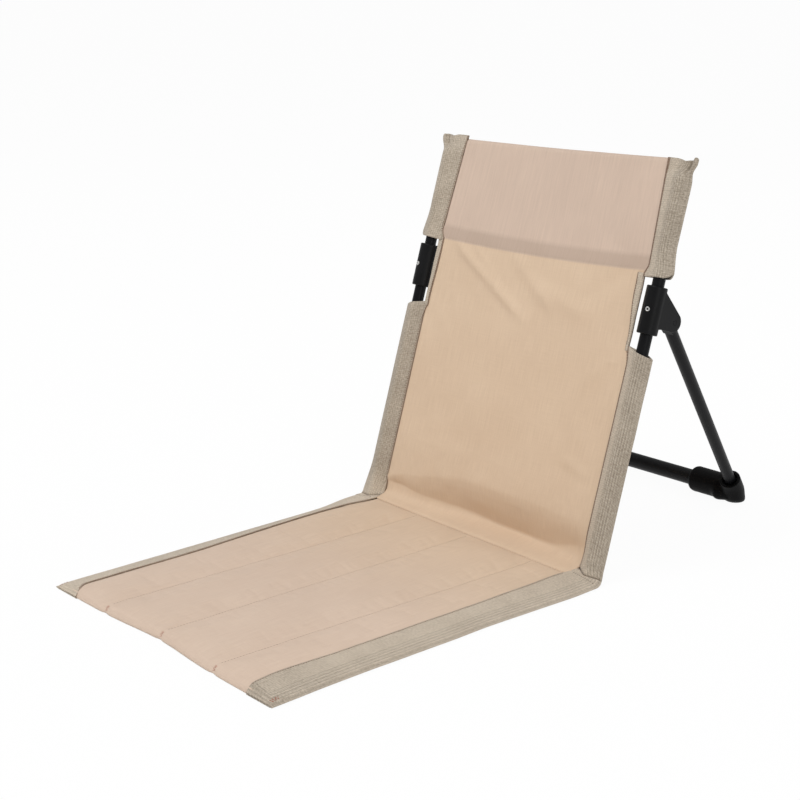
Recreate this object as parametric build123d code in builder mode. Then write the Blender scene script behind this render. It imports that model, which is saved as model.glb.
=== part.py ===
"""Folding floor chair: a quilted seat on the ground, a fabric back and a rear folding stand.

Millimetres and degrees. +Z is up, the chair faces -Y, +X is the sitter's left. The origin lies on the
ground, at the middle of the chair's length and width.
"""

import os
from math import asin, atan2, cos, pi, radians, sin, sqrt

from build123d import *

# Overall sizes
chair_width = 400.0
seat_length = 443.0  # front edge to the foot of the upright axis
back_length = 467.6  # foot of the upright axis to the top edge, along the slope
back_tilt = 17.7  # from vertical
stand_reach = 335.0  # foot of the upright axis to the middle of the foot pads
stand_inset = 57.0  # how far each foot stands inside its upright

# Tubes and the plugs in their ends
tube_d = 14.0
tube_wall = 1.2
bar_d = 19.5
bar_wall = 1.5
plug_head = 3.0
plug_depth = 12.0
fit_gap = 0.05  # radial play of a tight fit
soft_gap = 0.3  # play between soft pieces

# Webbing pockets that hold the uprights
upright_inset = 16.0  # chair edge to upright axis
lower_pocket_reach = 17.0  # upright axis to the lower inner seam
upper_pocket_reach = 25.0  # upright axis to the upper inner seam
lower_pocket_start = 4.0
lower_pocket_end = 252.0
upper_pocket_start = 340.6
ear_height = 22.0  # flattened corner at the top of each upper pocket
webbing_t = 1.2
pocket_ease = 0.5
seam_allowance = 2.5

# Cloth
cloth_t = 0.8
top_sag = 5.0
hem_height = 17.0
binding_width = 8.0
binding_inset = 21.0  # upright axis to the outer edge of the binding
fold_height = 105.0  # where the slack of the panel ends
fold_bulge = 17.0  # how far the slack hangs behind the upright plane at mid width
fold_edge_bulge = 4.5  # the same, beside the pockets
bowl_drop = 0.25  # how far the bowl of the slack sinks, as a share of its bulge
bowl_shift = 0.33  # how far the bowl's low point lies to the rear, as a share of its bulge
rise_share = 0.6  # share of the bulge left halfway up the rise

# Crease, the line on which the back folds
crease_height = 9.0
crease_ahead = 7.0  # ahead of the foot of the upright axis
crease_roll_d = 1.8  # rolled edge of the seat on which the back turns

# Seat
band_width = 36.0
stitch_pitch = 98.0
channel_crown = 6.0
channel_end_crown = 1.0
channel_ease = 24.0  # length over which a channel swells from its end
hem_depth = 14.0
cross_seam_ahead = 20.0  # ahead of the foot of the upright axis
stitch_margin = 2.0
stitch_valley = 1.2
tape_round = 2.0
flap_arch = 1.5
ease_shares = [0.0, 0.15, 0.45, 1.0]  # stations along the swelling end of a channel

# Hinge sleeve and its hooded clevis
sleeve_d = 23.0
sleeve_start = 275.6
sleeve_length = 53.0
sleeve_round = 1.2
pivot_rise = 19.0  # above the lower end of the sleeve
pivot_back = 29.0  # behind the upright axis
hood_r = 10.9
cheek_t = 4.0
web_t = 1.5
stop_gap = 0.4
pin_d = 5.0
rivet_rise = 27.0
rivet_turn = 12.0  # outward from straight ahead
rivet_d = 4.6
rivet_head_d = 7.6
rivet_head_t = 1.2
rivet_bore_d = 3.0
rivet_tail = 2.0

# Strut, knuckle and foot
knuckle_width = 14.0
knuckle_play = 0.25
spigot_depth = 20.0
pad_d = 28.0
bar_height = 17.0
foot_mouth_x = 68.0
foot_body_d = 32.5
foot_round = 4.5  # how far the mouth draws in
foot_mouth_length = 8.0  # length over which it draws in
foot_taper = 18.0
cup_d = 26.0
cup_reach = 45.0  # pad centre to the cup's rim, along the strut
cup_recess_d = 18.5
cup_recess_depth = 6.0
cup_floor = 24.0  # pad centre to the lower end of the strut tube
bar_depth = 36.0  # length of the bar inside each foot

# Frame of the back: local X across, local Y rearward from the upright plane, local Z up the slope
tilt = radians(back_tilt)
upright_x = chair_width / 2 - upright_inset
pivot_s = sleeve_start + pivot_rise
pivot_reach = pivot_back * cos(tilt) + pivot_s * sin(tilt)
pivot_height = pivot_s * cos(tilt) - pivot_back * sin(tilt)
strut_slope = (stand_reach - pivot_reach) / pivot_height
bar_reach = stand_reach - bar_height * strut_slope
rear_reach = max(stand_reach + pad_d / 2, bar_reach + foot_body_d / 2)
base_y = (seat_length - rear_reach) / 2
front_y = base_y - seat_length
back_frame = Plane(origin=(0, base_y, 0), x_dir=(1, 0, 0), z_dir=(0, sin(tilt), cos(tilt)))


def back_point(x, behind, up):
    """Point of the back: across, behind the upright plane and up the slope."""
    return back_frame.from_local_coords((x, behind, up))


def side_plane(x):
    """Side view of the back at x: local X runs rearward, local Y up the slope."""
    return Plane(origin=back_point(x, 0, 0), x_dir=back_frame.y_dir, z_dir=(1, 0, 0))


def save(piece, label):
    piece.part.label = label
    export_step(piece.part, f"parts/{label}.step")


def save_pair(piece, label):
    """Write the left piece and its mirror image."""
    save(piece, f"left_{label}")
    with BuildPart() as twin:
        mirror(piece.part, about=Plane.YZ)
    save(twin, f"right_{label}")


def ring(outer_d, wall):
    Circle(outer_d / 2)
    Circle(outer_d / 2 - wall, mode=Mode.SUBTRACT)


def pointed_oval(x_in, x_out, swell):
    """Section of a tunnel of cloth between two seams, swelling over the upright."""
    with BuildSketch() as oval:
        with BuildLine():
            ThreePointArc((x_in, 0), (upright_x, swell), (x_out, 0))
            ThreePointArc((x_out, 0), (upright_x, -swell), (x_in, 0))
        make_face()
    return oval.sketch


os.makedirs("parts", exist_ok=True)

# Places worked out from the sizes
rivet_s = sleeve_start + rivet_rise
plug_bottom_s = lower_pocket_start + 2 * webbing_t + soft_gap
tube_bottom_s = plug_bottom_s + plug_head
tube_top_s = back_length - ear_height - plug_head - soft_gap
tube_r = tube_d / 2
tube_bore_r = tube_r - tube_wall
pocket_swell = tube_r + pocket_ease
pivot = back_point(upright_x, pivot_back, pivot_s)
pad = Vector(upright_x - stand_inset, base_y + stand_reach, 0)
strut_dir = (pivot - pad).normalized()
strut_length = (pivot - pad).length

# Rivet that fixes each sleeve: it faces forward, turned a little outward
rivet_angle = radians(rivet_turn)
rivet_out = back_frame.x_dir * sin(rivet_angle) - back_frame.y_dir * cos(rivet_angle)
rivet_seat = back_point(upright_x, 0, rivet_s) + rivet_out * (sleeve_d / 2)
rivet_plane = Plane(origin=rivet_seat, x_dir=back_frame.z_dir, z_dir=rivet_out)
rivet_grip = sleeve_d / 2 - tube_bore_r + rivet_tail

# Upright tubes
with BuildPart() as upright_tube:
    with BuildSketch(back_frame.offset(tube_bottom_s)):
        with Locations((upright_x, 0)):
            ring(tube_d, tube_wall)
    extrude(amount=tube_top_s - tube_bottom_s)
    with BuildSketch(rivet_plane):
        Circle(rivet_d / 2 + fit_gap)
    extrude(amount=-rivet_grip, mode=Mode.SUBTRACT)
save_pair(upright_tube, "upright_tube")


def tube_plugs(start_s, inward):
    """Pair of end plugs: a head flush with the tube and a spigot reaching inward."""
    with BuildPart() as plugs:
        with BuildSketch(back_frame.offset(start_s)):
            with Locations((upright_x, 0)):
                Circle(tube_r)
        extrude(amount=-inward * plug_head)
        with BuildSketch(back_frame.offset(start_s)):
            with Locations((upright_x, 0)):
                Circle(tube_bore_r - fit_gap)
        extrude(amount=inward * plug_depth)
        mirror(about=Plane.YZ)
    return plugs


save(tube_plugs(tube_top_s, -1), "upright_top_plugs")
save(tube_plugs(tube_bottom_s, 1), "upright_bottom_plugs")

# Hinge sleeves. The hood's roof lies along the open strut and stops it.
open_angle = atan2(stand_reach - pivot_reach, pivot_height) + tilt
roof_dir = Vector(sin(open_angle), -cos(open_angle))
roof_normal = Vector(cos(open_angle), sin(open_angle))
pivot_side = Vector(pivot_back, pivot_s)
hood_width = knuckle_width + 2 * knuckle_play + 2 * cheek_t
slot_front = sleeve_d / 2 + web_t


def roof_point(distance, behind):
    """Point of a line along the strut, off the pivot by distance, at a place behind the upright."""
    foot = pivot_side + roof_normal * distance
    return foot + roof_dir * ((behind - foot.X) / roof_dir.X)


with BuildPart() as hinge_sleeve:
    with BuildSketch(back_frame.offset(sleeve_start)):
        with Locations((upright_x, 0)):
            Circle(sleeve_d / 2)
    extrude(amount=sleeve_length)
    fillet(hinge_sleeve.edges().filter_by(GeomType.CIRCLE), sleeve_round)
    with BuildSketch(side_plane(upright_x)):
        with BuildLine():
            nose_top = pivot_side + roof_normal * hood_r
            nose_end = pivot_side - Vector(0, hood_r)
            Line(roof_point(hood_r, 0), nose_top)
            ThreePointArc(nose_top, pivot_side + Vector(hood_r, 0), nose_end)
            Line(nose_end, (0, nose_end.Y))
            Line((0, nose_end.Y), roof_point(hood_r, 0))
        make_face()
    extrude(amount=hood_width / 2, both=True)
    with BuildSketch(side_plane(upright_x)):
        with BuildLine():
            Polyline(
                roof_point(tube_r + stop_gap, slot_front),
                roof_point(tube_r + stop_gap, pivot_back + 2 * hood_r),
                (pivot_back + 2 * hood_r, sleeve_start),
                (slot_front, sleeve_start),
                close=True,
            )
        make_face()
    extrude(amount=knuckle_width / 2 + knuckle_play, both=True, mode=Mode.SUBTRACT)
    with BuildSketch(back_frame.offset(sleeve_start)):
        with Locations((upright_x, 0)):
            Circle(tube_r + fit_gap)
    extrude(amount=sleeve_length, mode=Mode.SUBTRACT)
    with BuildSketch(side_plane(upright_x)):
        with Locations(pivot_side):
            Circle(pin_d / 2 + fit_gap)
    extrude(amount=hood_width, both=True, mode=Mode.SUBTRACT)
    with BuildSketch(rivet_plane):
        Circle(rivet_d / 2 + fit_gap)
    extrude(amount=-sleeve_d / 2, mode=Mode.SUBTRACT)
save_pair(hinge_sleeve, "hinge_sleeve")

with BuildPart() as sleeve_rivets:
    with BuildSketch(rivet_plane):
        Circle(rivet_d / 2)
    extrude(amount=-rivet_grip)
    with BuildSketch(rivet_plane):
        Circle(rivet_head_d / 2)
    extrude(amount=rivet_head_t)
    fillet(sleeve_rivets.faces().sort_by(Axis(rivet_seat, rivet_out))[-1].edges(), rivet_head_t / 2)
    with BuildSketch(rivet_plane.offset(rivet_head_t)):
        Circle(rivet_bore_d / 2)
    extrude(amount=-rivet_grip, mode=Mode.SUBTRACT)
    mirror(about=Plane.YZ)
save(sleeve_rivets, "sleeve_rivets")

with BuildPart() as hinge_pins:
    with BuildSketch(side_plane(upright_x)):
        with Locations(pivot_side):
            Circle(pin_d / 2)
    extrude(amount=hood_width / 2, both=True)
    mirror(about=Plane.YZ)
save(hinge_pins, "hinge_pins")

# Lower pockets: open at the top, sewn shut at the crease
lower_seam_x = upright_x - lower_pocket_reach
with BuildPart() as lower_pocket:
    with BuildSketch(back_frame.offset(lower_pocket_start)):
        add(pointed_oval(lower_seam_x, chair_width / 2, pocket_swell + webbing_t))
    extrude(amount=lower_pocket_end - lower_pocket_start)
    with BuildSketch(back_frame.offset(lower_pocket_start + 2 * webbing_t)):
        add(pointed_oval(lower_seam_x + seam_allowance, chair_width / 2 - seam_allowance, pocket_swell))
    extrude(amount=lower_pocket_end - lower_pocket_start, mode=Mode.SUBTRACT)
save_pair(lower_pocket, "lower_pocket")

# Upper pockets: open at the bottom, flattened into a stitched ear at the top
upper_seam_x = upright_x - upper_pocket_reach
ear_s = back_length - ear_height
with BuildPart() as upper_pocket:
    with BuildSketch(back_frame.offset(upper_pocket_start)):
        add(pointed_oval(upper_seam_x, chair_width / 2, pocket_swell + webbing_t))
    extrude(amount=ear_s - upper_pocket_start)
    with BuildSketch(back_frame.offset(ear_s)):
        add(pointed_oval(upper_seam_x, chair_width / 2, pocket_swell + webbing_t))
    with BuildSketch(back_frame.offset(back_length)):
        add(pointed_oval(upper_seam_x, chair_width / 2, webbing_t))
    loft()
    with BuildSketch(back_frame.offset(upper_pocket_start)):
        add(pointed_oval(upper_seam_x + seam_allowance, chair_width / 2 - seam_allowance, pocket_swell))
    extrude(amount=ear_s - upper_pocket_start, mode=Mode.SUBTRACT)
save_pair(upper_pocket, "upper_pocket")

# Back panel: taut above, slack below, where it swings back and then forward to the crease
panel_lower_x = lower_seam_x - soft_gap
panel_notch_x = upright_x - binding_inset - cloth_t
panel_upper_x = upper_seam_x - soft_gap
panel_top_s = back_length - webbing_t
crease_gap = crease_roll_d / 2 + soft_gap
crease_behind = -crease_ahead * cos(tilt) - crease_height * sin(tilt)
crease_s = -crease_ahead * sin(tilt) + crease_height * cos(tilt)
ground_dir = Vector(cos(tilt), sin(tilt))
sky_dir = Vector(-sin(tilt), cos(tilt))


def panel_outline(top_x, start_s, top_s):
    """Upper part of a panel whose top edge hangs in a shallow curve."""
    with BuildSketch() as outline:
        with BuildLine():
            ThreePointArc((top_x, top_s), (0, top_s - top_sag), (-top_x, top_s))
            Polyline((-top_x, top_s), (-top_x, start_s), (top_x, start_s), (top_x, top_s))
        make_face()
    return outline.sketch


def fold_section(x, bulge):
    """Section of the slack at x: crease, flap, bend and rise to the taut panel, one cloth thick."""
    heel = Vector(crease_behind, crease_s) + ground_dir * crease_gap
    bend = Vector(bulge, crease_s + fold_bulge)
    sag = (heel + bend) * 0.5 - sky_dir * (bulge * bowl_drop) + ground_dir * (bulge * bowl_shift)
    rise = Vector(bulge * rise_share, (bend.Y + fold_height) / 2)
    inner = [heel, sag, bend, rise, Vector(0, fold_height)]
    away = [-sky_dir, (ground_dir - sky_dir).normalized(), Vector(1, 0), Vector(1, 0), Vector(1, 0)]
    outer = [point + normal * cloth_t for point, normal in zip(inner, away)]
    with BuildSketch(side_plane(x)) as section:
        with BuildLine():
            ThreePointArc(*inner[:3])
            ThreePointArc(*inner[2:])
            Line(inner[4], outer[4])
            ThreePointArc(outer[4], outer[3], outer[2])
            ThreePointArc(outer[2], outer[1], outer[0])
            Line(outer[0], inner[0])
        make_face()
    return section.sketch


panel_plane = Plane(origin=back_frame.origin, x_dir=(1, 0, 0), z_dir=-back_frame.y_dir)
fold_stations = [-1.0, -0.5, 0.0, 0.5, 1.0]
fold_sections = [
    fold_section(
        share * panel_lower_x,
        fold_edge_bulge + (fold_bulge - fold_edge_bulge) * cos(share * pi / 2),
    )
    for share in fold_stations
]
with BuildPart() as back_panel:
    with BuildSketch(panel_plane):
        add(panel_outline(panel_upper_x, upper_pocket_start, panel_top_s))
        with BuildLine():
            Polyline(
                (-panel_notch_x, upper_pocket_start),
                (-panel_notch_x, lower_pocket_end),
                (-panel_lower_x, lower_pocket_end),
                (-panel_lower_x, fold_height),
                (panel_lower_x, fold_height),
                (panel_lower_x, lower_pocket_end),
                (panel_notch_x, lower_pocket_end),
                (panel_notch_x, upper_pocket_start),
                close=True,
            )
        make_face()
    extrude(amount=-cloth_t)
    loft(sections=fold_sections)
save(back_panel, "back_panel")

# Head flap: the doubled rear layer of the head area, with a turned hem along its lower edge
with BuildPart() as head_flap:
    with BuildSketch(panel_plane.offset(-cloth_t - soft_gap)):
        add(panel_outline(panel_upper_x, upper_pocket_start + soft_gap, panel_top_s))
    extrude(amount=-cloth_t)
    with BuildSketch(panel_plane.offset(-2 * cloth_t - soft_gap)):
        with Locations((0, upper_pocket_start + soft_gap + hem_height / 2)):
            Rectangle(2 * panel_upper_x, hem_height)
    extrude(amount=-cloth_t)
save(head_flap, "head_flap")

# Notch bindings: webbing folded round the bare edges of the panel between the pockets
binding_x = upright_x - binding_inset + soft_gap
with BuildPart() as notch_binding:
    with BuildSketch(back_frame.offset(lower_pocket_end + soft_gap)):
        with Locations((binding_x - binding_width / 2 + webbing_t, cloth_t / 2)):
            Rectangle(binding_width, cloth_t + 2 * soft_gap + 2 * webbing_t)
        with Locations((binding_x - binding_width / 2, cloth_t / 2)):
            Rectangle(binding_width, cloth_t + 2 * soft_gap, mode=Mode.SUBTRACT)
    extrude(amount=upper_pocket_start - lower_pocket_end - 2 * soft_gap)
save_pair(notch_binding, "notch_binding")

# Seat levels, from the ground up
base_z = webbing_t + soft_gap
plate_z = base_z + cloth_t
plate_top_z = plate_z + cloth_t
cavity_top_z = plate_top_z + soft_gap
band_top_z = cavity_top_z + webbing_t
band_inner_x = chair_width / 2 - band_width
crease_y = base_y - crease_ahead
cross_seam_y = base_y - cross_seam_ahead
cloth_edge_x = chair_width / 2 - webbing_t - soft_gap
cloth_front_y = front_y + webbing_t + soft_gap
channel_front_y = front_y + hem_depth
seat_end_y = crease_y - crease_gap

with BuildPart() as base_cloth:
    with BuildSketch(Plane.XY.offset(base_z)):
        with Locations((0, (cloth_front_y + seat_end_y) / 2)):
            Rectangle(2 * cloth_edge_x, seat_end_y - cloth_front_y)
    extrude(amount=cloth_t)
save(base_cloth, "base_cloth")


def channel_stations(inset):
    """Places along a channel, with its swelling there, from the front hem to the cross seam."""
    swells = [(share, sqrt(1 - (1 - share) ** 2)) for share in ease_shares]
    front = [(channel_front_y + inset + share * channel_ease, swell) for share, swell in swells]
    rear = [(cross_seam_y - inset - share * channel_ease, swell) for share, swell in swells]
    return front + rear[::-1]


def channel(x_from, x_to, base, inset, crown, mode=Mode.ADD):
    """Padded channel between two lengthwise seams: a crowned body that draws in at both ends."""
    left = x_from + inset
    right = x_to - inset
    sections = []
    for station_y, swell in channel_stations(inset):
        top = base + channel_end_crown + (crown - channel_end_crown) * swell
        with BuildSketch(Plane.XZ.offset(-station_y)) as section:
            with BuildLine():
                ThreePointArc((left, base), ((left + right) / 2, top), (right, base))
                Line((right, base), (left, base))
            make_face()
        sections.append(section.sketch)
    loft(sections=sections, ruled=True, mode=mode)


# Seat cover: cloth quilted into channels, each with a foam strip between cover and base cloth
seams_x = [-band_inner_x, -stitch_pitch, 0.0, stitch_pitch, band_inner_x]
channels_x = list(zip(seams_x[:-1], seams_x[1:]))
with BuildPart() as seat_cover:
    with BuildSketch(Plane.XY.offset(plate_z)):
        with Locations((0, (cloth_front_y + cross_seam_y) / 2)):
            Rectangle(2 * cloth_edge_x, cross_seam_y - cloth_front_y)
    extrude(amount=cloth_t)
    for x_from, x_to in channels_x:
        channel(x_from, x_to, plate_top_z, stitch_valley / 2, channel_crown)
    for x_from, x_to in channels_x:
        channel(x_from, x_to, plate_z, stitch_margin, channel_crown, mode=Mode.SUBTRACT)
save(seat_cover, "seat_cover")

with BuildPart() as foam_strips:
    for x_from, x_to in channels_x:
        channel(x_from, x_to, plate_z, stitch_margin + soft_gap, channel_crown - soft_gap)
save(foam_strips, "foam_strips")


def folded_tape(plane, width):
    """Tape folded round the seat's edge: its fold at local X = 0, its open side inward."""
    with BuildSketch(plane) as section:
        with Locations((-width / 2, band_top_z / 2)):
            Rectangle(width, band_top_z)
        fillet(section.vertices().group_by(Axis.X)[-1], tape_round)
        with Locations((-(width + webbing_t) / 2, (webbing_t + cavity_top_z) / 2)):
            Rectangle(width - webbing_t, cavity_top_z - webbing_t, mode=Mode.SUBTRACT)
    return section.sketch


# Seat bands: webbing folded round the long edges of the seat
band_plane = Plane(origin=(chair_width / 2, front_y, 0), x_dir=(1, 0, 0), z_dir=(0, -1, 0))
with BuildPart() as seat_band:
    extrude(folded_tape(band_plane, band_width), amount=front_y - seat_end_y)
save_pair(seat_band, "seat_band")

# Front hem, between the bands
hem_x = band_inner_x - soft_gap
hem_plane = Plane(origin=(hem_x, front_y, 0), x_dir=(0, -1, 0), z_dir=(-1, 0, 0))
with BuildPart() as front_hem:
    extrude(folded_tape(hem_plane, hem_depth - soft_gap), amount=2 * hem_x)
save(front_hem, "front_hem")

# Rear flap: unpadded cloth that rises from the cross seam to a rolled edge at the crease
with BuildPart() as rear_flap:
    with BuildSketch(Plane.YZ.offset(-hem_x)):
        with BuildLine():
            seam = Vector(cross_seam_y + soft_gap, plate_top_z)
            edge = Vector(crease_y, crease_height + cloth_t / 2)
            arch = (seam + edge) * 0.5 + Vector(0, flap_arch)
            drop = Vector(0, cloth_t)
            ThreePointArc(seam, arch, edge)
            Line(edge, edge - drop)
            ThreePointArc(edge - drop, arch - drop, seam - drop)
            Line(seam - drop, seam)
        make_face()
        with Locations((crease_y, crease_height)):
            Circle(crease_roll_d / 2)
    extrude(amount=2 * hem_x)
save(rear_flap, "rear_flap")

# Strut tubes, leaning inward from the hinges to the feet
lean = asin(stand_inset / strut_length)
lean_rise = tube_r * sin(lean)  # how much farther one rim of a leaning tube reaches than its axis
collar_start = (hood_r + stop_gap + lean_rise) / cos(lean)
neck_reach = collar_start * cos(lean) + lean_rise
tube_start = (neck_reach + lean_rise + stop_gap) / cos(lean)
strut_frame = Plane(origin=pad, x_dir=(1, 0, 0), z_dir=strut_dir)
with BuildPart() as strut_tube:
    with BuildSketch(strut_frame.offset(cup_floor)):
        ring(tube_d, tube_wall)
    extrude(amount=strut_length - tube_start - cup_floor)
save_pair(strut_tube, "strut_tube")

# Strut knuckles: an eye on the hinge pin, a neck between the cheeks and a spigot in the tube
with BuildPart() as strut_knuckle:
    with BuildSketch(side_plane(upright_x)):
        with Locations(pivot_side):
            Circle(tube_r)
        with BuildLine():
            half_neck = roof_normal * tube_r
            neck_end = pivot_side + roof_dir * neck_reach
            Polyline(
                pivot_side + half_neck,
                neck_end + half_neck,
                neck_end - half_neck,
                pivot_side - half_neck,
                close=True,
            )
        make_face()
        with Locations(pivot_side):
            Circle(pin_d / 2 + fit_gap, mode=Mode.SUBTRACT)
    extrude(amount=knuckle_width / 2, both=True)
    with BuildSketch(strut_frame.offset(strut_length - tube_start)):
        Circle(tube_r)
    extrude(amount=tube_start - collar_start)
    with BuildSketch(strut_frame.offset(strut_length - tube_start)):
        Circle(tube_bore_r - fit_gap)
    extrude(amount=-spigot_depth)
save_pair(strut_knuckle, "strut_knuckle")

# Cross bar along the ground, held in both feet
bar_y = base_y + bar_reach
bar_end_x = foot_mouth_x + bar_depth
with BuildPart() as cross_bar:
    with BuildSketch(Plane(origin=(-bar_end_x, bar_y, bar_height), x_dir=(0, 1, 0), z_dir=(1, 0, 0))):
        ring(bar_d, bar_wall)
    extrude(amount=2 * bar_end_x)
save(cross_bar, "cross_bar")

# Foot elbows: a round-mouthed socket for the bar, a flared cup for the strut and a pad on the ground
foot_end_x = pad.X + stand_inset * bar_height / pivot_height
foot_r = foot_body_d / 2
foot_mouth_r = foot_r - foot_round
with BuildPart() as foot_elbow:
    with BuildSketch(Plane(origin=(0, bar_y, bar_height), x_dir=(1, 0, 0), z_dir=(0, -1, 0))):
        with BuildLine():
            mouth = Vector(foot_mouth_x, foot_mouth_r)
            crown = Vector(foot_mouth_x + foot_mouth_length, foot_r)
            shoulder = Vector(foot_end_x - foot_taper, foot_r)
            tip = Vector(foot_end_x, cup_d / 2)
            bulge = Vector(crown.X - foot_mouth_length * cos(pi / 4), mouth.Y + foot_round * sin(pi / 4))
            Line((foot_mouth_x, 0), mouth)
            ThreePointArc(mouth, bulge, crown)
            Polyline(crown, shoulder, tip, (foot_end_x, 0), (foot_mouth_x, 0))
        make_face()
    revolve(axis=Axis((0, bar_y, bar_height), (1, 0, 0)))
    with BuildSketch(Plane(origin=pad, x_dir=(1, 0, 0), z_dir=(0, 0, 1))):
        Circle(pad_d / 2)
    with BuildSketch(strut_frame.offset(cup_reach)):
        Circle(cup_d / 2)
    loft()
    with BuildSketch(strut_frame.offset(cup_floor)):
        Circle(tube_r + fit_gap)
    extrude(amount=cup_reach, mode=Mode.SUBTRACT)
    with BuildSketch(strut_frame.offset(cup_reach - cup_recess_depth)):
        Circle(cup_recess_d / 2)
    extrude(amount=cup_reach, mode=Mode.SUBTRACT)
    with BuildSketch(Plane(origin=(foot_mouth_x, bar_y, bar_height), x_dir=(0, 1, 0), z_dir=(1, 0, 0))):
        Circle(bar_d / 2 + fit_gap)
    extrude(amount=bar_depth + fit_gap, mode=Mode.SUBTRACT)
save_pair(foot_elbow, "foot_elbow")
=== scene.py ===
"""Folding floor chair: quilted seat, slack fabric back in webbing pockets, black rear stand."""

import math
from functools import partial

import bmesh
import bpy
from mathutils import Matrix, Vector, noise
from mathutils.bvhtree import BVHTree


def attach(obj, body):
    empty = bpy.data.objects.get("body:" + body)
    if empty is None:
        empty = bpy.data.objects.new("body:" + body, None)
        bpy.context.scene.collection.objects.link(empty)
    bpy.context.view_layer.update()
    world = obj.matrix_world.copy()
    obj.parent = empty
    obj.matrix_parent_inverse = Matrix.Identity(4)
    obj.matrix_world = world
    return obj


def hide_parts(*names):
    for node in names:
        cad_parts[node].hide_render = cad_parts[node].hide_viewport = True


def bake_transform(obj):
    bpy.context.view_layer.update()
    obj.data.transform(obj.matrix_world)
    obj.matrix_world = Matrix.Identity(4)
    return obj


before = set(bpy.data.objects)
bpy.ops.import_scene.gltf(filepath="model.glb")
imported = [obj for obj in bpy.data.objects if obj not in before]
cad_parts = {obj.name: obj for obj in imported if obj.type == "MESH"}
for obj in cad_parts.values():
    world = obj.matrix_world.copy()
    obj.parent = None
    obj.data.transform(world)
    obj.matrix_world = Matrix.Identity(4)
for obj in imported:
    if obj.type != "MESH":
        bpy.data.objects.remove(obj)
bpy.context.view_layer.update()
scene = bpy.context.scene

# Places of the chair, in metres
half_width = 0.200
upright_x = 0.184
front_y = -0.396
foot_y = 0.047  # where the upright axes meet the ground
lean = math.radians(17.7)
crease = Vector((0, 0.040, 0.009))
quilt_lines = [(-0.096, 0.011), (0.0, 0.008), (0.102, 0.013)]  # across at the front, and drift by the rear
pad_edge_x = 0.164
lower_seam_x = 0.167
pocket_swell = 0.0081
lower_end = 0.252
upper_start = 0.3366
back_length = 0.4676
tube_top = 0.4455  # top of the uprights with their plugs
fold_top = 0.090

# Thicknesses
cloth_t = 0.0008
webbing_t = 0.0012
tuck = 0.0007  # how far each layer of webbing stands off the cloth sewn between

up_slope = Vector((0, math.sin(lean), math.cos(lean)))
rearward = Vector((0, math.cos(lean), -math.sin(lean)))
sides = (("left", 1), ("right", -1))


def on_back(x, behind, up):
    """Point of the back: across, behind the upright plane, up the slope."""
    return Vector((x, foot_y, 0)) + rearward * behind + up_slope * up


def ease(share):
    share = min(max(share, 0.0), 1.0)
    return share * share * (3 - 2 * share)


def mix(a, b, share):
    return a + (b - a) * share


def hump(distance, width):
    return math.exp(-((distance / width) ** 2))


def between(value, low, high, soft):
    """1 inside a span, easing to 0 outside it."""
    return ease((value - low) / soft + 0.5) * ease((high - value) / soft + 0.5)


def ripple(x, y, size, seed):
    """Smooth unevenness of hand-sewn cloth, from -1 to 1."""
    return noise.noise(Vector((x / size, y / size, seed)))


# Finishes
def linear(red, green, blue):
    """Colour written as it shows on a screen, 0 to 255."""
    def channel(value):
        value /= 255
        return value / 12.92 if value <= 0.04045 else ((value + 0.055) / 1.055) ** 2.4
    return (channel(red), channel(green), channel(blue), 1.0)


def new_finish(name):
    finish = bpy.data.materials.new(name)
    finish.use_nodes = True
    return finish, finish.node_tree, finish.node_tree.nodes["Principled BSDF"]


def feed(tree, socket, value):
    """Link a made value into a socket, or set a constant there."""
    if isinstance(value, bpy.types.NodeSocket):
        tree.links.new(value, socket)
    elif value is not None:
        socket.default_value = value


def node(tree, kind, *inputs, out=0, **settings):
    made = tree.nodes.new("ShaderNode" + kind)
    for key, value in settings.items():
        setattr(made, key, value)
    for socket, value in zip(made.inputs, inputs):
        feed(tree, socket, value)
    return made.outputs[out]


def dress(tree, shader, looks):
    """Fill the shader's sockets by name."""
    for name, value in looks.items():
        feed(tree, shader.inputs[name], value)


def maths(tree, operation, *inputs):
    return node(tree, "Math", *inputs, operation=operation)


def tint(tree, share, first, second):
    """Colour between two, by a share; a plain colour is written as it shows on a screen."""
    made = tree.nodes.new("ShaderNodeMix")
    made.data_type = "RGBA"
    for index, value in ((0, share), (6, first), (7, second)):
        feed(tree, made.inputs[index], linear(*value) if isinstance(value, tuple) else value)
    return made.outputs[2]


def spread(tree, value, low, high, to_low=0.0, to_high=1.0):
    """Value stretched from one span to another, clamped."""
    return node(tree, "MapRange", value, low, high, to_low, to_high)


def blend_of(tree, *parts):
    """Weighted sum of values, given as pairs."""
    total = None
    for value, weight in parts:
        part = maths(tree, "MULTIPLY", value, weight)
        total = part if total is None else maths(tree, "ADD", total, part)
    return total


def cloud(tree, vector, scale, detail=2.0):
    return node(tree, "TexNoise", vector, None, scale, detail)


def stretched(tree, vector, size):
    return node(tree, "Mapping", vector, None, None, size)


def mark(tree, name):
    return node(tree, "Attribute", attribute_name=name, out=2)


def weave(tree, across, along, pitch):
    """Height of a plain weave: each yarn rises over one neighbour and dives under the next."""
    u = maths(tree, "MULTIPLY", across, 1 / pitch)
    v = maths(tree, "MULTIPLY", along, 1 / pitch)
    warp = maths(tree, "PINGPONG", u, 0.5)
    weft = maths(tree, "PINGPONG", v, 0.5)
    over = node(tree, "TexChecker", node(tree, "CombineXYZ", u, v, 0.5), None, None, 1.0, out=1)
    warp_part = maths(tree, "MULTIPLY", warp, over)
    weft_part = maths(tree, "MULTIPLY", weft, maths(tree, "SUBTRACT", 1.0, over))
    return maths(tree, "MULTIPLY", maths(tree, "ADD", warp_part, weft_part), 2.0)


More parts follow.
